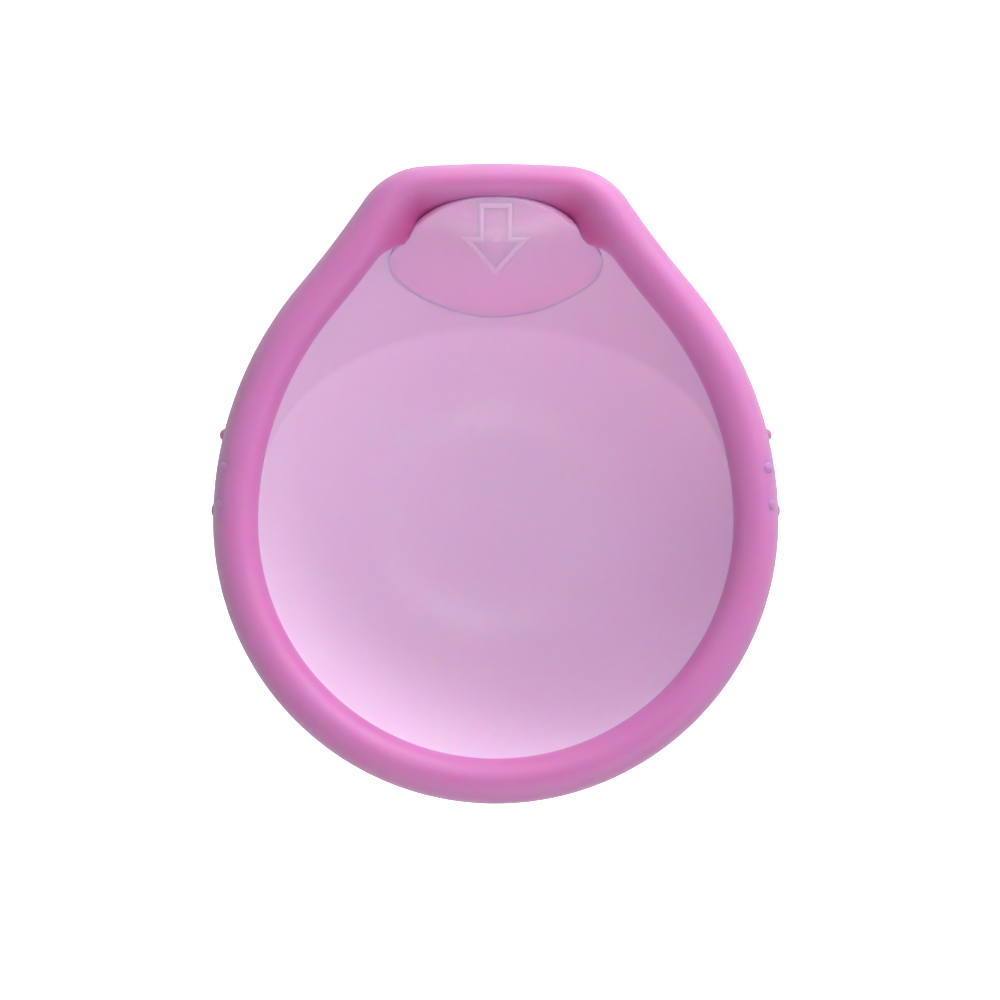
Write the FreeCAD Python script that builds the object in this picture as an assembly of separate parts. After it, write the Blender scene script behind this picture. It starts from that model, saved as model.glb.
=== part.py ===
import FreeCAD, Part
import math
import os

# Soft silicone cup with a pear-shaped outline: a round wide end, a flat narrow end, a thick
# rim over a thin bowl, and a hollow finger dome that carries a raised arrow.
# Frame: X across, Y from the wide end to the narrow end, Z up. The cup rests on the flat
# spot of its bowl, mouth up, with the origin at the bottom centre of the whole cup.
# All sizes are in millimetres and all angles in degrees.

# Outline of the rim seen from above, as arcs from the wide end to the narrow end
BACK_RADIUS = 33.15
BACK_OVERRUN = 0.9
SIDE_RADIUS = 43.3
SIDE_TURN = 39.1
WAIST_RADIUS = 131.0
WAIST_TURN = 5.5
CORNER_RADIUS = 9.06
FRONT_RADIUS = 131.0

# Rim tube and the spring moulded inside it
OVERALL_HEIGHT = 32.0
RIM_WIDTH = 5.3
FRONT_RIM_WIDTH = 4.2
RIM_HEIGHT = 6.6
BLEND_STEPS = 6
SPRING_DIAMETER = 2.0

# Thin film of the bowl and of the sloping wall at the narrow end
FILM_THICKNESS = 0.7
BOWL_INSET = 4.5
WALL_INSET = 3.4
FLAT_SPOT_RADIUS = 11.0
TROUGH_TILT = 47.5
TROUGH_RADIUS = 27.9
TROUGH_DROP = 0.45
TROUGH_LENGTH = 60.0
CREASE_Y = 18.55
CREASE_Z = 10.4
CREASE_TILT = 34.0

# Webs that fill the two narrow-end corners between rim and dome. Their inner faces lie on
# an upright elliptical funnel, centred on the bowl.
FUNNEL_HALF_X = 30.0
FUNNEL_HALF_Y = 34.8
FUNNEL_TAPER = 2.5
WEB_BOTTOM_Z = 18.0
WEB_TOP_DROP = 0.6

# Finger dome: an ellipsoid shell, open below. Seen from above it is a lens with rounded
# ends, between an arch on the side of the rim and a flatter arc on the side of the bowl.
DOME_CENTRE_Y = 31.0
DOME_CENTRE_Z = 9.8
DOME_HALF_X = 21.5
DOME_HALF_Y = 11.6
DOME_HALF_Z = 21.0
DOME_THICKNESS = 1.0
ARCH_RADIUS = 14.35
ARCH_TOP_Y = 33.75
CREASE_ARC_RADIUS = 19.4
CREASE_ARC_LOW_Y = 20.1
LENS_END_RADIUS = 2.0

# Raised outline of the arrow on the dome, which points to the wide end
ARROW_TOP_Y = 32.9
ARROW_SHOULDER_Y = 29.0
ARROW_TIP_Y = 24.5
ARROW_SHAFT_WIDTH = 4.1
ARROW_HEAD_WIDTH = 8.9
ARROW_STROKE = 0.75
ARROW_HEIGHT = 0.3

# Grip nubs: (Y, angle up the outer side of the rim tube)
NUB_RADIUS = 0.8
NUB_SINK = 0.35
NUB_PLACES = ((5.8, 0.0), (1.9, 48.0), (-2.5, 46.0), (-3.1, 0.0))

UP = FreeCAD.Vector(0, 0, 1)
RIM_CENTRE_Z = OVERALL_HEIGHT - RIM_HEIGHT / 2


def direction(angle):
    """Unit vector in the XY plane at an angle from +X."""
    return FreeCAD.Vector(math.cos(math.radians(angle)), math.sin(math.radians(angle)), 0)


def half_outline():
    """Arcs of the right half, as (start point, outward normal angle, centre, turn)."""
    arcs = []
    point = FreeCAD.Vector(0, 0, 0)
    normal = -90.0
    steps = [
        (BACK_RADIUS, 90.0 + BACK_OVERRUN),
        (SIDE_RADIUS, SIDE_TURN),
        (-WAIST_RADIUS, -WAIST_TURN),
    ]
    for radius, turn in steps:
        centre = point - direction(normal) * radius
        arcs.append((point, normal, centre, turn))
        normal += turn
        point = centre + direction(normal) * radius
    # The corner turns until the front arc that leaves it has its centre on the mid-plane.
    corner_centre = point - direction(normal) * CORNER_RADIUS
    end_normal = math.degrees(math.acos(corner_centre.x / (FRONT_RADIUS - CORNER_RADIUS)))
    arcs.append((point, normal, corner_centre, end_normal - normal))
    point = corner_centre + direction(end_normal) * CORNER_RADIUS
    front_centre = point - direction(end_normal) * FRONT_RADIUS
    arcs.append((point, end_normal, front_centre, 90.0 - end_normal))
    return arcs


def centred_outline():
    """The half outline, moved so that the cup's length is centred on Y = 0."""
    arcs = half_outline()
    start, normal, centre, turn = arcs[-1]
    length = centre.y + (start - centre).Length
    shift = FreeCAD.Vector(0, -length / 2, 0)
    return [(start + shift, normal, centre + shift, turn) for start, normal, centre, turn in arcs]


OUTLINE = centred_outline()
BOWL_CENTRE_Y = OUTLINE[0][2].y


def mirrored(shape):
    """The shape's mirror image across the cup's mid-plane."""
    return shape.mirror(FreeCAD.Vector(0, 0, 0), FreeCAD.Vector(1, 0, 0))


def placed(section, normal, start):
    """A section, drawn in the XZ plane with -X inward, stood across the outline at a point."""
    standing = section.copy()
    standing.rotate(FreeCAD.Vector(0, 0, 0), UP, normal)
    standing.translate(start)
    return standing


def even_arc(arc, section):
    """Length of ring of one section along an arc."""
    start, normal, centre, turn = arc
    face = placed(section, normal, start)
    if turn < 0:
        face.rotate(centre, UP, turn)
    return face.revolve(centre, UP, abs(turn))


def blended_arc(arc, first_width, last_width):
    """Length of rim tube along an arc, from one width to another."""
    start, normal, centre, turn = arc
    rings = []
    for step in range(BLEND_STEPS + 1):
        part = step / BLEND_STEPS
        easing = part * part * (3 - 2 * part)
        half_width = (first_width + (last_width - first_width) * easing) / 2
        section = ellipse_face(half_width, RIM_HEIGHT / 2, half_width, RIM_CENTRE_Z)
        angle = normal + turn * part
        point = centre + direction(angle) * (start - centre).Length
        rings.append(placed(section, angle, point).OuterWire)
    return Part.makeLoft(rings, True, False)


def closed_ring(lengths):
    """Closed ring from the lengths along one side and their mirror images."""
    both = lengths + [mirrored(length) for length in lengths]
    return both[0].fuse(both[1:]).removeSplitter()


def ellipse_face(half_width, half_height, inset, height):
    """Upright ellipse face in the XZ plane, its centre inset from the outline."""
    centre = FreeCAD.Vector(-inset, 0, height)
    top = centre + UP * half_height
    side = centre + FreeCAD.Vector(half_width, 0, 0)
    if half_height > half_width:
        curve = Part.Ellipse(top, side, centre)
    else:
        curve = Part.Circle(centre, FreeCAD.Vector(0, 1, 0), half_width)
    return Part.Face(Part.Wire(curve.toShape()))


def outline_prism(inset, bottom, top):
    """Solid that fills the outline, inset all round, between two heights."""
    edges = []
    for start, normal, centre, turn in OUTLINE:
        inner = start - direction(normal) * inset
        arm = inner - centre
        points = [centre + FreeCAD.Rotation(UP, turn * part).multVec(arm) for part in (0, 0.5, 1)]
        edges.append(Part.Arc(*points).toShape())
    edges += [mirrored(edge) for edge in edges]
    wire = Part.Wire(Part.__sortEdges__(edges))
    wire.translate(UP * bottom)
    return Part.Face(wire).extrude(UP * (top - bottom))


def bowl_solid(radius, floor):
    """Ball with a flat spot at the given height, carried straight up into the rim."""
    outer_radius = BACK_RADIUS - BOWL_INSET
    centre_z = math.sqrt(outer_radius ** 2 - FLAT_SPOT_RADIUS ** 2)
    centre = FreeCAD.Vector(0, BOWL_CENTRE_Y, centre_z)
    ball = Part.makeSphere(radius, centre, UP, -90, 0)
    neck = Part.makeCylinder(radius, RIM_CENTRE_Z - centre_z, centre)
    slab = Part.makeBox(4 * radius, 4 * radius, radius)
    slab.translate(FreeCAD.Vector(-2 * radius, -2 * radius, floor - radius))
    return ball.fuse(neck).removeSplitter().cut(slab)


def trough_solid(radius, inset):
    """Sloping half-pipe that carries the bowl's front up to the narrow end of the rim."""
    tilt = math.radians(TROUGH_TILT)
    outer_radius = BACK_RADIUS - BOWL_INSET
    centre_z = math.sqrt(outer_radius ** 2 - FLAT_SPOT_RADIUS ** 2)
    along = FreeCAD.Vector(0, math.cos(tilt), math.sin(tilt))
    below = FreeCAD.Vector(0, math.sin(tilt), -math.cos(tilt))
    start = FreeCAD.Vector(0, BOWL_CENTRE_Y, centre_z) + below * TROUGH_DROP
    pipe = Part.makeCylinder(radius, TROUGH_LENGTH, start, along)
    return pipe.common(outline_prism(inset, 0, RIM_CENTRE_Z))


def lens_prism(inset):
    """Upright prism over the dome's lens, inset all round."""
    arch_centre = FreeCAD.Vector(0, ARCH_TOP_Y - ARCH_RADIUS, 0)
    crease_centre = FreeCAD.Vector(0, CREASE_ARC_LOW_Y + CREASE_ARC_RADIUS, 0)
    arch = Part.makeCylinder(ARCH_RADIUS - inset, OVERALL_HEIGHT, arch_centre)
    crease = Part.makeCylinder(CREASE_ARC_RADIUS - inset, OVERALL_HEIGHT, crease_centre)
    lens = arch.common(crease)
    ends = [edge for edge in lens.Edges if isinstance(edge.Curve, Part.Line) and abs(edge.CenterOfMass.x) > 1]
    return lens.makeFillet(LENS_END_RADIUS - inset, ends)


def ellipsoid(margin):
    """The dome's ellipsoid, grown by a margin."""
    ball = Part.makeSphere(1.0)
    matrix = FreeCAD.Matrix()
    matrix.scale(DOME_HALF_X + margin, DOME_HALF_Y + margin, DOME_HALF_Z + margin)
    matrix.move(FreeCAD.Vector(0, DOME_CENTRE_Y, DOME_CENTRE_Z))
    return ball.transformGeometry(matrix)


def funnel():
    """Upright elliptical funnel over the mouth, narrower towards the bottom."""
    rings = []
    for height, margin in ((WEB_BOTTOM_Z, -FUNNEL_TAPER), (OVERALL_HEIGHT, 0)):
        centre = FreeCAD.Vector(0, BOWL_CENTRE_Y, height)
        major = centre + FreeCAD.Vector(0, FUNNEL_HALF_Y + margin, 0)
        minor = centre + FreeCAD.Vector(FUNNEL_HALF_X + margin, 0, 0)
        rings.append(Part.Wire(Part.Ellipse(major, minor, centre).toShape()))
    return Part.makeLoft(rings, True, True)


def front_block():
    """Half space in front of the crease between bowl and sloping wall, as a large block."""
    size = 200.0
    block = Part.makeBox(size, size, 2 * size)
    block.translate(FreeCAD.Vector(-size / 2, 0, -size))
    block.rotate(FreeCAD.Vector(0, 0, 0), FreeCAD.Vector(1, 0, 0), CREASE_TILT)
    block.translate(FreeCAD.Vector(0, CREASE_Y, CREASE_Z))
    return block


def arrow_face(grow):
    """Arrow outline in the XY plane, pushed outward by a distance."""
    half_shaft = ARROW_SHAFT_WIDTH / 2
    half_head = ARROW_HEAD_WIDTH / 2
    corners = [
        (half_shaft, ARROW_TOP_Y),
        (half_shaft, ARROW_SHOULDER_Y),
        (half_head, ARROW_SHOULDER_Y),
        (0, ARROW_TIP_Y),
        (-half_head, ARROW_SHOULDER_Y),
        (-half_shaft, ARROW_SHOULDER_Y),
        (-half_shaft, ARROW_TOP_Y),
    ]
    points = [FreeCAD.Vector(x, y, 0) for x, y in corners]
    wire = Part.makePolygon(points + points[:1])
    if grow:
        wire = wire.makeOffset2D(grow, 2)
    return Part.Face(wire)


def nub_group():
    """Small round nubs on the outer face of the rim, on the right side of the cup."""
    nubs = []
    half_width = RIM_WIDTH / 2
    for y, angle in NUB_PLACES:
        outward = math.cos(math.radians(angle)) * half_width
        height = RIM_CENTRE_Z + math.sin(math.radians(angle)) * RIM_HEIGHT / 2
        start, normal, centre, turn = OUTLINE[0 if y < BOWL_CENTRE_Y else 1]
        reach = (start - centre).Length - half_width + outward
        x = centre.x + math.sqrt(reach ** 2 - (y - centre.y) ** 2)
        place = FreeCAD.Vector(x - NUB_SINK, y, height)
        nubs.append(Part.makeSphere(NUB_RADIUS, place).cut(rim_tube))
    return Part.makeCompound(nubs)


def solids_of(shape):
    """The shape's solids only: the one solid itself, or a group of them."""
    solids = shape.Solids
    if len(solids) == 1:
        return solids[0]
    return Part.makeCompound(solids)


# Rim tube with its spring. The rim is slimmer along the narrow end.
side_section = ellipse_face(RIM_WIDTH / 2, RIM_HEIGHT / 2, RIM_WIDTH / 2, RIM_CENTRE_Z)
front_section = ellipse_face(FRONT_RIM_WIDTH / 2, RIM_HEIGHT / 2, FRONT_RIM_WIDTH / 2, RIM_CENTRE_Z)
side_lengths = [even_arc(arc, side_section) for arc in OUTLINE[:-2]]
corner_length = blended_arc(OUTLINE[-2], RIM_WIDTH, FRONT_RIM_WIDTH)
front_length = even_arc(OUTLINE[-1], front_section)
rim_tube = closed_ring(side_lengths + [corner_length, front_length])
spring_radius = SPRING_DIAMETER / 2
spring_section = ellipse_face(spring_radius, spring_radius, FRONT_RIM_WIDTH / 2, RIM_CENTRE_Z)
rim_spring = closed_ring([even_arc(arc, spring_section) for arc in OUTLINE])
rim_ring = rim_tube.cut(rim_spring)

# Thin film: bowl and sloping wall, split at the crease
bowl_radius = BACK_RADIUS - BOWL_INSET
wall_room = trough_solid(TROUGH_RADIUS, WALL_INSET)
wall_cavity = trough_solid(TROUGH_RADIUS - FILM_THICKNESS, WALL_INSET + FILM_THICKNESS)
cavity = bowl_solid(bowl_radius - FILM_THICKNESS, FILM_THICKNESS).fuse(wall_cavity)
film = bowl_solid(bowl_radius, 0).fuse(wall_room).cut(cavity).cut(rim_tube)
dome_body = ellipsoid(0).common(lens_prism(0))
bowl = film.cut(front_block())
upper_wall = film.common(front_block()).cut(dome_body)

# Webs in the narrow-end corners, standing on the film
web_room = wall_cavity.common(outline_prism(0, WEB_BOTTOM_Z, RIM_CENTRE_Z - WEB_TOP_DROP))
front_webs = web_room.cut(funnel()).cut(rim_tube).cut(dome_body)

# Finger dome, its arrow and the grip nubs
pocket = ellipsoid(-DOME_THICKNESS).common(lens_prism(DOME_THICKNESS))
dome_shell = dome_body.cut(pocket)
dome_top = outline_prism(WALL_INSET, RIM_CENTRE_Z, OVERALL_HEIGHT)
finger_dome = dome_shell.common(wall_room.fuse(dome_top)).cut(rim_tube)
arrow_ring = arrow_face(0).cut(arrow_face(-ARROW_STROKE))
arrow_prism = arrow_ring.extrude(UP * OVERALL_HEIGHT)
arrow_room = arrow_prism.common(ellipsoid(ARROW_HEIGHT)).common(lens_prism(0))
insertion_arrow = arrow_room.cut(ellipsoid(0)).cut(rim_tube)
grip_nubs_right = nub_group()

NODES = {
    "rim_ring": rim_ring,
    "rim_spring": rim_spring,
    "bowl": bowl,
    "upper_wall": upper_wall,
    "front_webs": front_webs,
    "finger_dome": finger_dome,
    "insertion_arrow": insertion_arrow,
    "grip_nubs_left": mirrored(grip_nubs_right),
    "grip_nubs_right": grip_nubs_right,
}

os.makedirs("parts", exist_ok=True)
for name, shape in NODES.items():
    body = solids_of(shape)
    body.exportStep("parts/" + name + ".step")
    box = body.optimalBoundingBox(False)
    corners = (box.XMin, box.XMax, box.YMin, box.YMax, box.ZMin, box.ZMax)
    volumes = [round(solid.Volume, 1) for solid in body.Solids]
    print(name, "valid", body.isValid(), "volumes", volumes, "box", [round(v, 2) for v in corners])
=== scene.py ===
import math

import bpy
import numpy as np
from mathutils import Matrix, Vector


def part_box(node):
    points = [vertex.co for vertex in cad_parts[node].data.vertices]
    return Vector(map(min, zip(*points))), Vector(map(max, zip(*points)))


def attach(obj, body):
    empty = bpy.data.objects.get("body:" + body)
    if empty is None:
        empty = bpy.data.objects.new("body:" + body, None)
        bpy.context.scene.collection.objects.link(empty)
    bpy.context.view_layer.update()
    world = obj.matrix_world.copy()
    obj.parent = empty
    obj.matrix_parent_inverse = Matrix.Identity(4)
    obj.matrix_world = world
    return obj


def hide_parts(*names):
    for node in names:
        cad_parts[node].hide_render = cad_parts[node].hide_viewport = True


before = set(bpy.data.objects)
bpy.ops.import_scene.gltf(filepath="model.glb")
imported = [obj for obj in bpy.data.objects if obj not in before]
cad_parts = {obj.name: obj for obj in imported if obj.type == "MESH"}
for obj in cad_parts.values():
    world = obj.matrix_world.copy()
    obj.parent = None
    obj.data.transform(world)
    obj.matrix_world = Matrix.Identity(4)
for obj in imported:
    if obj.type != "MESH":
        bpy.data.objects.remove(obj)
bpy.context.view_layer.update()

# Sizes are in millimetres unless a name says otherwise, and MM turns them into metres.
MM = 0.001

# Outline of the rim seen from above, as arcs from the wide end to the narrow end
ARCS = ((33.15, 90.9), (43.3, 39.1), (-131.0, -5.5))
CORNER_RADIUS = 9.06
FRONT_RADIUS = 131.0

# Places and sizes that the frame gives
RIM_LOW, RIM_HIGH = (np.array(corner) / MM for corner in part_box("rim_ring"))
DOME_LOW, DOME_HIGH = (np.array(corner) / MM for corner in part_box("finger_dome"))
LENGTH = RIM_HIGH[1] - RIM_LOW[1]
RIM_TOP = RIM_HIGH[2]
RIM_HEIGHT = RIM_HIGH[2] - RIM_LOW[2]
RIM_MIDDLE = (RIM_HIGH[2] + RIM_LOW[2]) / 2
BOWL_Y = ARCS[0][0] - LENGTH / 2

RIM_WIDTH = 5.3
FRONT_RIM_WIDTH = 4.2
FILM = 0.7
BOWL_RADIUS = 27.95
FLAT_RADIUS = 11.0
BOWL_Z = math.sqrt((BOWL_RADIUS + FILM) ** 2 - FLAT_RADIUS ** 2)

# The sloping wall is part of a half-pipe
WALL_TILT = math.radians(47.5)
WALL_RADIUS = 27.2
WALL_DROP = 0.45
WALL_Y = BOWL_Y + WALL_DROP * math.sin(WALL_TILT)
WALL_Z = BOWL_Z - WALL_DROP * math.cos(WALL_TILT)

# How softly the ball meets the wall, and how softly the ball fades into the flat spot
CREASE_SOFTNESS = 0.2
FLAT_SOFTNESS = 2.2
# Height that stands for no film at all
FAR = 80.0

# Seen from above, the finger dome is a lens between an arch and a flatter crease arc.
# The arch reaches a little way under the rim.
DOME_Y = 28.5
DOME_TOP = RIM_TOP - 1.5
DOME_SKIN = 1.0
ARCH_RADIUS = 14.35
ARCH_Y = DOME_HIGH[1] + 0.55 - ARCH_RADIUS
CREASE_RADIUS = 19.4
CREASE_Y = DOME_LOW[1] + CREASE_RADIUS
LENS_ROUNDING = 2.4
# The dome rises over this length from the crease, and drops over this width at the arch
SLOPE_LENGTH = 10.5
ARCH_EDGE = 1.0
ARCH_SHARPNESS = 2.5
# A faint bead follows the crease
CREASE_STEP = 0.02
BEAD_RISE = 0.05
BEAD_PLACE = 0.45
BEAD_WIDTH = 0.22


# ---------------------------------------------------------------- geometry of the cup

def headings(radians):
    """Unit vectors in plan, one for each angle."""
    return np.stack([np.cos(radians), np.sin(radians)], axis=1)


def heading_of(degrees):
    return np.array([math.cos(math.radians(degrees)), math.sin(math.radians(degrees))])


def outline(spacing):
    """Points, outward normals and normal angles round the whole outline, evenly along each arc."""
    points, angles = [], []

    def add_arc(centre, radius, start, turn):
        count = max(2, int(round(abs(math.radians(turn) * radius) / spacing)))
        arc_angles = start + turn * np.arange(count) / count
        points.append(centre + radius * headings(np.radians(arc_angles)))
        angles.append(arc_angles)

    point = np.array([0.0, -LENGTH / 2])
    normal = -90.0
    for radius, turn in ARCS:
        centre = point - heading_of(normal) * radius
        add_arc(centre, radius, normal, turn)
        normal += turn
        point = centre + heading_of(normal) * radius
    # The corner arc turns until it is tangent to the front arc, whose centre is on the midline
    centre = point - heading_of(normal) * CORNER_RADIUS
    end = math.degrees(math.acos(centre[0] / (FRONT_RADIUS - CORNER_RADIUS)))
    add_arc(centre, CORNER_RADIUS, normal, end - normal)
    add_arc(centre + heading_of(end) * (CORNER_RADIUS - FRONT_RADIUS), FRONT_RADIUS, end, 90.0 - end)
    points.append(np.array([[0.0, LENGTH / 2]]))
    angles.append(np.array([90.0]))
    # The left side mirrors the right, without the two points on the midline
    right = np.concatenate(points)
    right_angles = np.concatenate(angles)
    whole = np.concatenate([right, right[-2:0:-1] * (-1, 1)])
    whole_angles = np.concatenate([right_angles, 180.0 - right_angles[-2:0:-1]])
    return whole, headings(np.radians(whole_angles)), whole_angles


def smooth_min(a, b, reach):
    """The lower of two heights, with the corner between them rounded over a reach."""
    near = np.clip(0.5 + 0.5 * (b - a) / reach, 0, 1)
    return b * (1 - near) + a * near - reach * near * (1 - near)


def smooth_step(value, low, high):
    part = np.clip((value - low) / (high - low), 0, 1)
    return part * part * (3 - 2 * part)


def film_parts(x, y):
    """Heights of the round bowl and of the sloping wall, or FAR where there is none."""
    reach = np.hypot(x, y - BOWL_Y)
    inside = reach < BOWL_RADIUS
    ball = np.where(inside, BOWL_Z - np.sqrt(np.maximum(BOWL_RADIUS ** 2 - reach ** 2, 0)), FAR)
    across = np.abs(x) < WALL_RADIUS
    depth = np.sqrt(np.maximum(WALL_RADIUS ** 2 - x ** 2, 0))
    along = ((y - WALL_Y) - depth * math.sin(WALL_TILT)) / math.cos(WALL_TILT)
    pipe = WALL_Z + (y - WALL_Y) * math.tan(WALL_TILT) - depth / math.cos(WALL_TILT)
    return ball, np.where(across & (along > 0), pipe, FAR)


def film_height(x, y):
    """Height of the film's inner face: round bowl, flat spot and sloping wall."""
    ball, pipe = film_parts(x, y)
    height = smooth_min(ball, pipe, CREASE_SOFTNESS)
    return -smooth_min(-height, np.full_like(height, -FILM), FLAT_SOFTNESS)


def lens_distance(x, y):
    """How far a point lies outside the dome's lens. It is negative inside."""
    arch = np.hypot(x, y - ARCH_Y) - ARCH_RADIUS
    crease = np.hypot(x, y - CREASE_Y) - CREASE_RADIUS
    return -smooth_min(-arch, -crease, LENS_ROUNDING)


def lens_ray(points, ways, longest):
    """How far each point travels along its way before it meets the lens, or the longest way."""
    travelled = np.zeros(len(points))
    for _ in range(60):
        spot = points + ways * travelled[:, None]
        travelled += np.maximum(lens_distance(spot[:, 0], spot[:, 1]), 0)
        travelled = np.minimum(travelled, longest)
    return travelled


def lens_reach(ways):
    """Distance from the dome's middle to the lens's edge, along each way."""
    longest = 20.0
    low, high = np.zeros(len(ways)), np.full(len(ways), longest)
    for _ in range(40):
        middle = (low + high) / 2
        spot = ways * middle[:, None] + (0, DOME_Y)
        inside = lens_distance(spot[:, 0], spot[:, 1]) < 0
        low = np.where(inside, middle, low)
        high = np.where(inside, high, middle)
    return low


def dome_height(x, y, margin=0.0):
    """Height of the dome: a long slope out of the crease, and a rounded edge along the arch."""
    above_crease = CREASE_RADIUS - np.hypot(x, y - CREASE_Y) + margin
    inside_arch = ARCH_RADIUS - np.hypot(x, y - ARCH_Y) + margin
    slope = smooth_step(above_crease, 0.0, SLOPE_LENGTH)
    edge = 1 - np.clip(inside_arch / ARCH_EDGE, 0, 1)
    foot = film_height(x, y) + CREASE_STEP + margin * (FILM + CREASE_STEP) / DOME_SKIN
    if margin == 0:
        foot = foot + BEAD_RISE * np.exp(-((above_crease - BEAD_PLACE) / BEAD_WIDTH) ** 2)
    return foot + (DOME_TOP + margin - foot) * slope * np.sqrt(1 - edge ** ARCH_SHARPNESS)


# ---------------------------------------------------------------- mesh helpers

def mesh_object(name, vertices, faces):
    """A mesh object from vertices in metres."""
    mesh = bpy.data.meshes.new(name)
    mesh.from_pydata([tuple(v) for v in vertices], [], faces)
    thing = bpy.data.objects.new(name, mesh)
    bpy.context.scene.collection.objects.link(thing)
    return thing


def finish_mesh(thing, material):
    thing.data.polygons.foreach_set("use_smooth", [True] * len(thing.data.polygons))
    thing.data.materials.append(material)


def make_piece(name, vertices, faces, nodes, material):
    """A mesh piece from millimetre vertices. It rides on the root body and stands for CAD nodes."""
    piece = mesh_object(name, np.asarray(vertices) * MM, faces)
    piece.data.validate()
    finish_mesh(piece, material)
    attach(piece, "root")
    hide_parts(*nodes)
    return piece


def grid_faces(rows, columns, close_rows=False, offset=0, flip=False):
    """Quads of a grid whose columns wrap round. Rows wrap too if close_rows is set."""
    faces = []
    for row in range(rows if close_rows else rows - 1):
        for column in range(columns):
            a = offset + row * columns + column
            b = offset + row * columns + (column + 1) % columns
            c = offset + (row + 1) % rows * columns + (column + 1) % columns
            d = offset + (row + 1) % rows * columns + column
            faces.append((a, d, c, b) if flip else (a, b, c, d))
    return faces


def grid_normals(grid):
    """Unit normals of a grid of points whose second axis wraps round. The film's point outward."""
    around = np.roll(grid, -1, axis=1) - np.roll(grid, 1, axis=1)
    along = np.gradient(grid, axis=0)
    normals = np.cross(around, along)
    length = np.linalg.norm(normals, axis=2, keepdims=True)
    return normals / np.maximum(length, 1e-9)


def set_attribute(piece, name, values):
    """A number for each vertex, which the materials read by name."""
    attribute = piece.data.attributes.new(name, "FLOAT", "POINT")
    attribute.data.foreach_set("value", np.asarray(values, dtype=np.float32).ravel())


# ---------------------------------------------------------------- rim

# Power of the section's sine and cosine: below 1, the section is a little fuller than an ellipse
SECTION_POWER = 0.94
# The rim slims to its front width while the outline's normal turns between these angles, in
# degrees from sideways to straight ahead
FRONT_TURN = (35.0, 86.0)

# In the narrow-end corners the rim's inner face slopes down to the foot of the dome: the Y over
# which the slope starts, its length, the section angle that reaches furthest and its drop
CORNER_START = (29.5, 36.3)
CORNER_REACH = 4.5
CORNER_FOLD = math.radians(205.0)
CORNER_DROP = 3.6
# A slope of this length has the whole drop
CORNER_FULL = 2.8
# How far the slope passes into the dome, and the longest way it looks for it
ARCH_SINK = 0.8
ARCH_SEARCH = 12.0
# Cosines, from that section angle, between which the slope takes hold
FOLD_SPREAD = (-0.3, 0.9)
# Insets between which the rim's underside rises to lie within the film
REST_INSET = (2.4, 4.0)
# Deep tint of the rim's inner face, which is painted shade: a little on the plain rim, and the
# painted crevice shade that a full corner slope adds
INNER_PAINTED_SHADE = 0.1
CORNER_PAINTED_SHADE = 0.9


def rim_section(count):
    """Angles round the rim's section: 0 outward, 90 up, 180 inward, 270 down."""
    return np.radians(np.arange(count) * 360.0 / count)


def rim_grid(spacing, count):
    """Points of the rim, [station, section point], and how much painted shade, as a deep tint, each
    one has.
    """
    points, normals, angles = outline(spacing)
    turn = rim_section(count)
    front = smooth_step(90 - np.abs(angles - 90), *FRONT_TURN) * (points[:, 1] > 0)
    width = RIM_WIDTH + (FRONT_RIM_WIDTH - RIM_WIDTH) * front
    extra = lens_ray(points, -normals, ARCH_SEARCH) + ARCH_SINK - width
    extra = np.clip(extra, 0, CORNER_REACH * smooth_step(points[:, 1], *CORNER_START))
    corner = np.clip(extra / CORNER_FULL, 0, 1)
    cosine = np.sign(np.cos(turn)) * np.abs(np.cos(turn)) ** SECTION_POWER
    sine = np.sign(np.sin(turn)) * np.abs(np.sin(turn)) ** SECTION_POWER
    inset = width[:, None] / 2 * (1 - cosine[None, :])
    height = RIM_MIDDLE + RIM_HEIGHT / 2 * np.repeat(sine[None, :], len(points), axis=0)
    inner = smooth_step(np.cos(turn - CORNER_FOLD), *FOLD_SPREAD)
    inset = inset + extra[:, None] * inner[None, :]
    height = height - corner[:, None] * inner[None, :] * CORNER_DROP
    plan = points[:, None, :] - normals[:, None, :] * inset[:, :, None]
    floor = film_height(plan[:, :, 0], plan[:, :, 1]) - FILM / 2
    raised = height + np.maximum(floor - height, 0) * smooth_step(inset, *REST_INSET)
    height = np.where(floor < RIM_MIDDLE, raised, height)
    grid = np.concatenate([plan, height[:, :, None]], axis=2)
    # Painted shade: the section's inner half is darkened, most in the corner crevices by the dome
    facing_in = np.broadcast_to(smooth_step(-np.cos(turn), 0.0, 1.0)[None, :], height.shape)
    return grid, facing_in * (INNER_PAINTED_SHADE + CORNER_PAINTED_SHADE * corner[:, None])


def make_rim(material):
    grid, tint = rim_grid(0.5, 72)
    stations, count = grid.shape[:2]
    faces = grid_faces(stations, count, close_rows=True, flip=True)
    piece = make_piece("rim", grid.reshape(-1, 3), faces, ["rim_ring", "front_webs"],
                       material)
    # The depth attribute here carries the rim's painted shade
    set_attribute(piece, "depth", tint)


# ---------------------------------------------------------------- film

# How far the film's edge lies inside the outline, and where the narrow end's value takes over
FILM_INSET = 5.2
FRONT_FILM_INSET = 4.1
FRONT_FILM_START = (8.0, 20.0)
# The film's edge lies inside the rim at this height, and its last rows rise to the next
FILM_TOP = RIM_MIDDLE - 0.6
FILM_EDGE_TOP = RIM_MIDDLE - 0.3
# The wall's deeper tint, which is painted shade, takes over while the ball rises from just under the
# wall to just over it
WALL_PAINTED_SHADE = (-0.25, 0.35)


def wall_reach(heading, longest):
    """Distance from the bowl's middle, along each heading, at which the film meets the rim."""
    low, high = np.full(len(heading), FLAT_RADIUS), longest.copy()
    for _ in range(40):
        middle = (low + high) / 2
        spot = heading * middle[:, None] + (0, BOWL_Y)
        below = film_height(spot[:, 0], spot[:, 1]) < FILM_TOP
        low = np.where(below, middle, low)
        high = np.where(below, high, middle)
    return low


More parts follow.
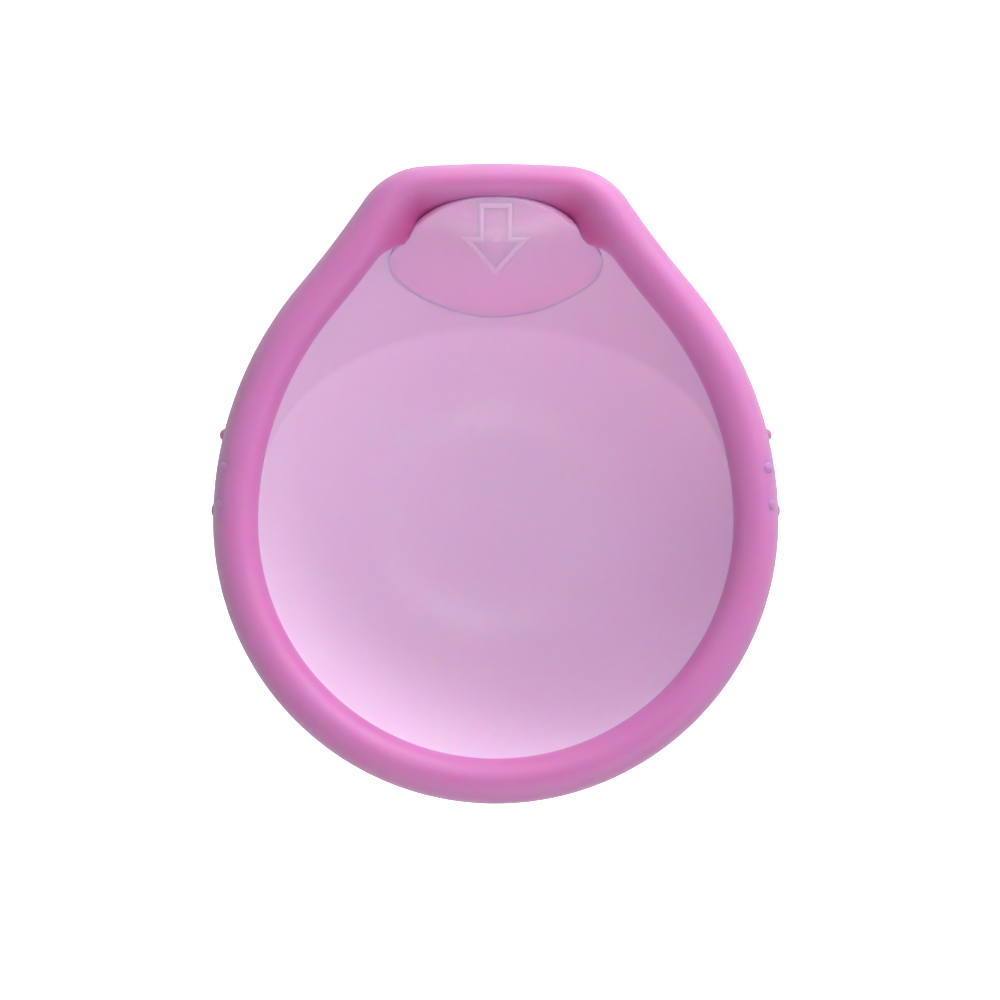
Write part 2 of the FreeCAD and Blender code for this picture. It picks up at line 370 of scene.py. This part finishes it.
def film_grid(spacing, rings):
    """Inner face of the film, [ring, station], from the flat spot out and up into the rim."""
    points, normals, _ = outline(spacing)
    in_front = smooth_step(points[:, 1], *FRONT_FILM_START)
    inset = FILM_INSET + (FRONT_FILM_INSET - FILM_INSET) * in_front
    ends = points - normals * inset[:, None]
    centre = np.array([0.0, BOWL_Y])
    reach = np.linalg.norm(ends - centre, axis=1)
    heading = (ends - centre) / reach[:, None]
    reach = wall_reach(heading, reach)
    rows = []
    for angle in np.radians(np.linspace(1.5, 90.0, rings)):
        # The last ring stops just short of the ball's edge, where the ball's height ends
        radius = np.minimum(reach * math.sin(angle), reach - 1e-4)
        plan = centre + heading * radius[:, None]
        height = film_height(plan[:, 0], plan[:, 1])
        rows.append(np.column_stack([plan, np.minimum(height, FILM_TOP)]))
    last = rows[-1]
    for part in (0.34, 0.67, 1.0):
        lifted = last.copy()
        lifted[:, 2] = np.maximum(last[:, 2] + (FILM_EDGE_TOP - last[:, 2]) * part, last[:, 2])
        rows.append(lifted)
    return np.array(rows)


def make_film(material, dome_cutter):
    inner = film_grid(0.6, 84)
    outer = inner + grid_normals(inner) * FILM
    outer[:, :, 2] = np.maximum(outer[:, :, 2], 0)
    rings, stations = inner.shape[:2]
    vertices = np.concatenate([inner.reshape(-1, 3), outer.reshape(-1, 3)])
    second = rings * stations
    faces = grid_faces(rings, stations)
    faces += grid_faces(rings, stations, offset=second, flip=True)
    centre_in = len(vertices)
    middle = inner[0, :, 2].mean()
    vertices = np.concatenate([vertices, [[0, BOWL_Y, middle], [0, BOWL_Y, middle - FILM]]])
    top = (rings - 1) * stations
    for column in range(stations):
        following = (column + 1) % stations
        faces.append((centre_in, following, column))
        faces.append((centre_in + 1, second + column, second + following))
        faces.append((top + column, top + following,
                      second + top + following, second + top + column))
    piece = make_piece("film", vertices, faces, ["bowl", "upper_wall"], material)
    ball, pipe = film_parts(vertices[:, 0], vertices[:, 1])
    # Painted shade: the sloping wall gets the film's deeper tint
    set_attribute(piece, "depth", smooth_step(ball - pipe, *WALL_PAINTED_SHADE))
    cut = piece.modifiers.new("dome_hole", "BOOLEAN")
    cut.operation = "DIFFERENCE"
    cut.solver = "EXACT"
    cut.object = dome_cutter
    bpy.context.view_layer.objects.active = piece
    bpy.ops.object.modifier_apply(modifier=cut.name)


# ---------------------------------------------------------------- dome

DOME_COLUMNS = 300
DOME_RINGS = 80
DOME_TINT = 0.5
# How deep the dome's outer and inner faces are sunk into the film at its foot
DOME_SINK = 0.45
POCKET_SINK = FILM - 0.03
# The pocket's roof never comes closer to its foot than this
POCKET_ROOM = 0.02


def dome_grid(margin, sink):
    """One face of the dome from its middle to its edge, sunk into the film by that much."""
    heading = headings(np.radians(np.arange(DOME_COLUMNS) * 360.0 / DOME_COLUMNS))
    reach = lens_reach(heading) + margin
    rows = []
    for part in np.sin(np.linspace(0.03, 1.0, DOME_RINGS) * math.pi / 2):
        plan = heading * (reach * part)[:, None] + (0, DOME_Y)
        rows.append(np.column_stack([plan, dome_height(plan[:, 0], plan[:, 1], margin)]))
    foot = rows[-1].copy()
    foot[:, 2] = film_height(foot[:, 0], foot[:, 1]) - sink
    rows.append(foot)
    return np.array(rows)


def make_dome(material):
    outer = dome_grid(0.0, DOME_SINK)
    inner = dome_grid(-DOME_SKIN, POCKET_SINK)
    inner[:-1, :, 2] = np.maximum(inner[:-1, :, 2], inner[-1, :, 2] + POCKET_ROOM)
    rows, columns = outer.shape[:2]
    second = rows * columns
    poles = [[0, DOME_Y, outer[0, :, 2].max()], [0, DOME_Y, inner[0, :, 2].max()]]
    vertices = np.concatenate([outer.reshape(-1, 3), inner.reshape(-1, 3), poles])
    faces = grid_faces(rows, columns, flip=True)
    faces += grid_faces(rows, columns, offset=second)
    pole = 2 * second
    low = (rows - 1) * columns
    for column in range(columns):
        following = (column + 1) % columns
        faces.append((pole, column, following))
        faces.append((pole + 1, second + following, second + column))
        faces.append((low + following, low + column,
                      second + low + column, second + low + following))
    piece = make_piece("finger_dome_skin", vertices, faces, ["finger_dome"],
                       material)
    set_attribute(piece, "depth", np.full(len(vertices), DOME_TINT))


def make_dome_cutter():
    """Upright lens, half way through the dome's skin, that cuts the dome's hole in the film."""
    columns = DOME_COLUMNS
    heading = headings(np.radians((np.arange(columns) + 0.5) * 360.0 / columns))
    reach = lens_reach(heading) - DOME_SKIN / 2
    plan = heading * reach[:, None] + (0, DOME_Y)
    low = np.column_stack([plan, np.full(columns, 2.0)])
    high = np.column_stack([plan, np.full(columns, FAR)])
    faces = grid_faces(2, columns)
    faces += [tuple(range(columns))[::-1], tuple(range(columns, 2 * columns))]
    return mesh_object("dome_cutter", np.concatenate([low, high]) * MM, faces)


# ---------------------------------------------------------------- arrow

ARROW_SHAFT = 4.1
ARROW_HEAD = 8.9
ARROW_SHAFT_LENGTH = 3.9
ARROW_STROKE = 0.8
ARROW_RISE = 0.08
ARROW_SINK = 0.3


def arrow_corners():
    """Corners of the middle line of the arrow's stroke, clockwise from the shaft's top right."""
    low, high = (np.array(corner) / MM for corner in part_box("insertion_arrow"))
    half = ARROW_STROKE / 2
    shoulder = high[1] - ARROW_SHAFT_LENGTH
    shaft = ARROW_SHAFT / 2 - half
    slope = math.atan2(shoulder - low[1], ARROW_HEAD / 2)
    tip = low[1] + half / math.cos(slope)
    head = ARROW_HEAD / 2 - half / math.tan(slope / 2)
    head_y = shoulder - half
    top = high[1] - half
    right = [(shaft, top), (shaft, head_y), (head, head_y), (0.0, tip)]
    left = [(-x, y) for x, y in right[-2::-1]]
    return np.array(right + left)


def offset_loop(corners, distance):
    """The closed loop pushed sideways by a distance, with its corners kept sharp."""
    result = []
    count = len(corners)
    for k in range(count):
        before = corners[k] - corners[k - 1]
        after = corners[(k + 1) % count] - corners[k]
        before = before / np.linalg.norm(before)
        after = after / np.linalg.norm(after)
        side_a = np.array([-before[1], before[0]])
        side_b = np.array([-after[1], after[0]])
        mitre = side_a + side_b
        result.append(corners[k] + mitre * distance / (mitre @ side_a))
    return np.array(result)


def make_arrow(material):
    """Raised outline arrow: a rounded bead along its corners, set along the dome's normals."""
    corners = arrow_corners()
    across = np.linspace(-1, 1, 9)
    profile = [(a, (1 + math.cos(math.pi * a)) / 2 * ARROW_RISE - 0.01) for a in across]
    profile += [(0.9, -ARROW_SINK), (0.0, -ARROW_SINK), (-0.9, -ARROW_SINK)]
    samples, step = 14, 0.05
    loops = []
    for sideways, rise in profile:
        loop = offset_loop(corners, sideways * ARROW_STROKE / 2)
        line = []
        for k in range(len(loop)):
            for part in range(samples):
                line.append(loop[k] + (loop[(k + 1) % len(loop)] - loop[k]) * part / samples)
        line = np.array(line)
        height = dome_height(line[:, 0], line[:, 1])
        slope_x = (dome_height(line[:, 0] + step, line[:, 1]) - height) / step
        slope_y = (dome_height(line[:, 0], line[:, 1] - step) - height) / -step
        normal = np.column_stack([-slope_x, -slope_y, np.ones_like(height)])
        normal = normal / np.linalg.norm(normal, axis=1)[:, None]
        loops.append(np.column_stack([line, height]) + normal * rise)
    grid = np.array(loops)
    faces = grid_faces(grid.shape[0], grid.shape[1], close_rows=True)
    make_piece("arrow_mark", grid.reshape(-1, 3), faces, ["insertion_arrow"],
               material)


# ---------------------------------------------------------------- grip nubs

# Each nub's Y, its angle up the outer side of the rim in degrees, and how far it stands out
NUB_PLACES = ((5.8, 0.0, 0.4), (1.9, 48.0, 0.28), (-2.5, 46.0, 0.28), (-3.1, 0.0, 0.2))
NUB_RADIUS = 0.62


def nub_profile(rise):
    """Height and radius of a nub from its foot in the rim to its top, with a soft foot."""
    body = [(rise * math.sin(t), NUB_RADIUS * math.cos(t)) for t in np.linspace(0, math.pi / 2, 10)]
    foot = [(-0.45, NUB_RADIUS * 1.1), (-0.12, NUB_RADIUS * 1.25), (0.03, NUB_RADIUS * 1.1)]
    return foot + body[1:]


def make_nubs(side, material):
    """The nubs of one side: 1 for the right and -1 for the left."""
    vertices, faces = [], []
    columns = 28
    for y, lift, rise in NUB_PLACES:
        lift = math.radians(lift)
        if y < BOWL_Y:
            centre_x, radius = 0.0, ARCS[0][0]
        else:
            centre_x, radius = ARCS[0][0] - ARCS[1][0], ARCS[1][0]
        tube_x = RIM_WIDTH / 2 * math.cos(lift)
        reach = radius - RIM_WIDTH / 2 + tube_x
        x = centre_x + math.sqrt(reach ** 2 - (y - BOWL_Y) ** 2)
        z = RIM_MIDDLE + RIM_HEIGHT / 2 * math.sin(lift)
        outward = Vector(((x - centre_x) / reach, (y - BOWL_Y) / reach, 0))
        tilt = math.atan2(math.sin(lift) / RIM_HEIGHT, math.cos(lift) / RIM_WIDTH)
        axis = (outward * math.cos(tilt) + Vector((0, 0, 1)) * math.sin(tilt)).normalized()
        first = axis.orthogonal().normalized()
        second = axis.cross(first)
        start = len(vertices)
        profile = nub_profile(rise)
        for height, radius in profile[:-1]:
            for k in range(columns):
                angle = 2 * math.pi * k / columns
                spot = Vector((x, y, z)) + axis * height
                spot += (first * math.cos(angle) + second * math.sin(angle)) * radius
                vertices.append((spot.x * side, spot.y, spot.z))
        rows = len(profile) - 1
        for end_height in (profile[0][0], profile[-1][0]):
            spot = Vector((x, y, z)) + axis * end_height
            vertices.append((spot.x * side, spot.y, spot.z))
        flip = side < 0
        faces += grid_faces(rows, columns, offset=start, flip=flip)
        foot, top = start + rows * columns, start + rows * columns + 1
        last = start + (rows - 1) * columns
        for k in range(columns):
            following = (k + 1) % columns
            low = (foot, start + following, start + k)
            high = (top, last + k, last + following)
            faces.append(low[::-1] if flip else low)
            faces.append(high[::-1] if flip else high)
    name = "grip_nubs_right" if side > 0 else "grip_nubs_left"
    make_piece(name + "_skin", vertices, faces, [name], material)


# ---------------------------------------------------------------- materials

def linear(red, green, blue):
    """Linear colour from the usual 0 to 255 values."""
    def channel(value):
        value /= 255
        return value / 12.92 if value <= 0.04045 else ((value + 0.055) / 1.055) ** 2.4
    return (channel(red), channel(green), channel(blue), 1.0)


def silicone(name, pale, deep, scatter_mm, spread, roughness):
    """Satin translucent silicone. The depth attribute blends from the pale tint to the deep one; on
    the rim and the film's wall that deep tint is painted shade.
    """
    material = bpy.data.materials.new(name)
    material.use_nodes = True
    nodes, links = material.node_tree.nodes, material.node_tree.links
    shader = nodes["Principled BSDF"]
    shader.subsurface_method = "RANDOM_WALK"
    shader.inputs["Subsurface Weight"].default_value = 1.0
    shader.inputs["Subsurface Radius"].default_value = spread
    shader.inputs["Subsurface Scale"].default_value = scatter_mm * MM
    shader.inputs["Subsurface Anisotropy"].default_value = 0.2
    shader.inputs["IOR"].default_value = 1.41
    shader.inputs["Specular IOR Level"].default_value = 0.7

    where = nodes.new("ShaderNodeTexCoord")
    clouds = nodes.new("ShaderNodeTexNoise")
    clouds.inputs["Scale"].default_value = 55.0
    clouds.inputs["Detail"].default_value = 3.0
    links.new(where.outputs["Object"], clouds.inputs["Vector"])
    # Pale-to-deep mix: a random cloudy tone, plus painted shade where the depth attribute asks for
    # it
    tint = nodes.new("ShaderNodeMix")
    tint.data_type = "RGBA"
    tint.inputs["A"].default_value = pale
    tint.inputs["B"].default_value = deep
    depth = nodes.new("ShaderNodeAttribute")
    depth.attribute_name = "depth"
    wobble = nodes.new("ShaderNodeMath")
    wobble.operation = "MULTIPLY_ADD"
    wobble.inputs[1].default_value = 0.15
    links.new(clouds.outputs["Fac"], wobble.inputs[0])
    links.new(depth.outputs["Fac"], wobble.inputs[2])
    links.new(wobble.outputs[0], tint.inputs["Factor"])
    links.new(tint.outputs["Result"], shader.inputs["Base Color"])

    grain = nodes.new("ShaderNodeTexNoise")
    grain.inputs["Scale"].default_value = 2600.0
    grain.inputs["Detail"].default_value = 4.0
    links.new(where.outputs["Object"], grain.inputs["Vector"])
    sheen = nodes.new("ShaderNodeMapRange")
    sheen.inputs["To Min"].default_value = roughness - 0.06
    sheen.inputs["To Max"].default_value = roughness + 0.08
    links.new(grain.outputs["Fac"], sheen.inputs["Value"])
    links.new(sheen.outputs["Result"], shader.inputs["Roughness"])
    bump = nodes.new("ShaderNodeBump")
    bump.inputs["Strength"].default_value = 0.12
    bump.inputs["Distance"].default_value = 0.00003
    links.new(grain.outputs["Fac"], bump.inputs["Height"])
    links.new(bump.outputs["Normal"], shader.inputs["Normal"])
    return material


def spring_plastic():
    """Natural moulded polymer of the hidden spring."""
    material = bpy.data.materials.new("spring_plastic")
    material.use_nodes = True
    nodes, links = material.node_tree.nodes, material.node_tree.links
    shader = nodes["Principled BSDF"]
    where = nodes.new("ShaderNodeTexCoord")
    noise = nodes.new("ShaderNodeTexNoise")
    noise.inputs["Scale"].default_value = 900.0
    ramp = nodes.new("ShaderNodeValToRGB")
    ramp.color_ramp.elements[0].color = linear(222, 216, 208)
    ramp.color_ramp.elements[1].color = linear(238, 234, 228)
    links.new(where.outputs["Object"], noise.inputs["Vector"])
    links.new(noise.outputs["Fac"], ramp.inputs["Fac"])
    links.new(ramp.outputs["Color"], shader.inputs["Base Color"])
    shader.inputs["Roughness"].default_value = 0.45
    return material


def floor_paint():
    material = bpy.data.materials.new("floor_paint")
    material.use_nodes = True
    shader = material.node_tree.nodes["Principled BSDF"]
    shader.inputs["Base Color"].default_value = (0.93, 0.93, 0.93, 1)
    shader.inputs["Roughness"].default_value = 0.9
    shader.inputs["Specular IOR Level"].default_value = 0.0
    shader.inputs["Emission Color"].default_value = (1, 1, 1, 1)
    shader.inputs["Emission Strength"].default_value = 0.92
    return material


# ---------------------------------------------------------------- stage, lights, camera

def make_floor():
    """Round pale floor that curves up into a wall behind the low views. Sizes are in metres."""
    columns, reach, cove, wall_top = 96, 2.5, 0.8, 4.0
    profile = [(reach + cove * math.sin(t), cove * (1 - math.cos(t)))
               for t in np.linspace(0, math.pi / 2, 13)]
    profile.append((reach + cove, wall_top))
    vertices = [(0.0, 0.0, 0.0)]
    for radius, height in profile:
        for k in range(columns):
            turn = 2 * math.pi * k / columns
            vertices.append((radius * math.cos(turn), radius * math.sin(turn), height))
    faces = [(0, 1 + k, 1 + (k + 1) % columns) for k in range(columns)]
    faces += grid_faces(len(profile), columns, offset=1)
    floor = mesh_object("floor", vertices, faces)
    finish_mesh(floor, floor_paint())
    # The floor shines plain white in view but throws no light up onto the cup
    floor.visible_diffuse = False


# Metres
LIGHT_DISTANCE = 0.7
LIGHT_SIZE = 0.35
# Azimuth and elevation in degrees, and power in watts
LIGHTS = (
    ("key", 60, 12, 3.3),
    ("key_high", 60, 55, 1.1),
    ("right", 30, 30, 1.15),
    ("far", 90, 12, 1.1),
    ("far_high", 90, 55, 0.8),
    ("near_right", 315, 30, 0.9),
    ("near", 270, 20, 0.9),
    ("near_high", 270, 50, 1.35),
    ("left", 180, 20, 0.45),
    ("left_high", 180, 50, 0.5),
)


def area_light(name, azimuth, elevation, power):
    """Soft square light, aimed at the middle of the cup's mouth. Azimuth 0 is +X and 90 is +Y."""
    turn, lift = math.radians(azimuth), math.radians(elevation)
    across = math.cos(lift)
    heading = Vector((math.cos(turn) * across, math.sin(turn) * across, math.sin(lift)))
    place = heading * LIGHT_DISTANCE + Vector((0, 0, RIM_MIDDLE * MM))
    data = bpy.data.lights.new(name, "AREA")
    data.shape = "SQUARE"
    data.size = LIGHT_SIZE
    data.energy = power
    light = bpy.data.objects.new(name, data)
    light.location = place
    light.rotation_euler = (-heading).to_track_quat("-Z", "Y").to_euler()
    bpy.context.scene.collection.objects.link(light)


def make_world(strength):
    world = bpy.data.worlds.new("studio")
    world.use_nodes = True
    background = world.node_tree.nodes["Background"]
    background.inputs["Color"].default_value = (1, 1, 1, 1)
    background.inputs["Strength"].default_value = strength
    bpy.context.scene.world = world


def make_camera():
    """Straight down into the mouth, with the narrow end up. Sizes are in metres."""
    height, frame_width = 0.62, 0.1172
    aim_x, aim_y = 0.0005, -0.0019
    data = bpy.data.cameras.new("camera")
    data.sensor_width = 36.0
    data.lens = data.sensor_width * (height - RIM_MIDDLE * MM) / frame_width
    camera = bpy.data.objects.new("camera", data)
    camera.location = (aim_x, aim_y, height)
    bpy.context.scene.collection.objects.link(camera)
    bpy.context.scene.camera = camera


# Pale and deep tints, scattering length in mm and its share for red, green and blue, roughness. The
# deep tints of the rim and the film are painted shade; the dome shows an even mix of its two tints.
rim_silicone = silicone("rim_silicone", linear(202, 126, 190), linear(188, 58, 130),
                        2.4, (1.0, 0.08, 0.25), 0.5)
film_silicone = silicone("film_silicone", linear(234, 205, 233), linear(225, 192, 224),
                         0.9, (1.0, 0.35, 0.6), 0.42)
dome_silicone = silicone("dome_silicone", linear(232, 196, 227), linear(216, 160, 206),
                         1.4, (1.0, 0.25, 0.5), 0.42)
arrow_silicone = silicone("arrow_silicone", linear(230, 190, 225), linear(220, 170, 211),
                          0.2, (1.0, 0.4, 0.6), 0.45)

make_rim(rim_silicone)
cutter = make_dome_cutter()
make_film(film_silicone, cutter)
bpy.data.objects.remove(cutter)
make_dome(dome_silicone)
make_arrow(arrow_silicone)
make_nubs(1, rim_silicone)
make_nubs(-1, rim_silicone)
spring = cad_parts["rim_spring"]
spring.data.materials.clear()
spring.data.materials.append(spring_plastic())

make_floor()
make_world(0.02)
for light_name, azimuth, elevation, watts in LIGHTS:
    area_light(light_name, azimuth, elevation, watts)
bpy.context.scene.view_settings.view_transform = "Standard"
make_camera()
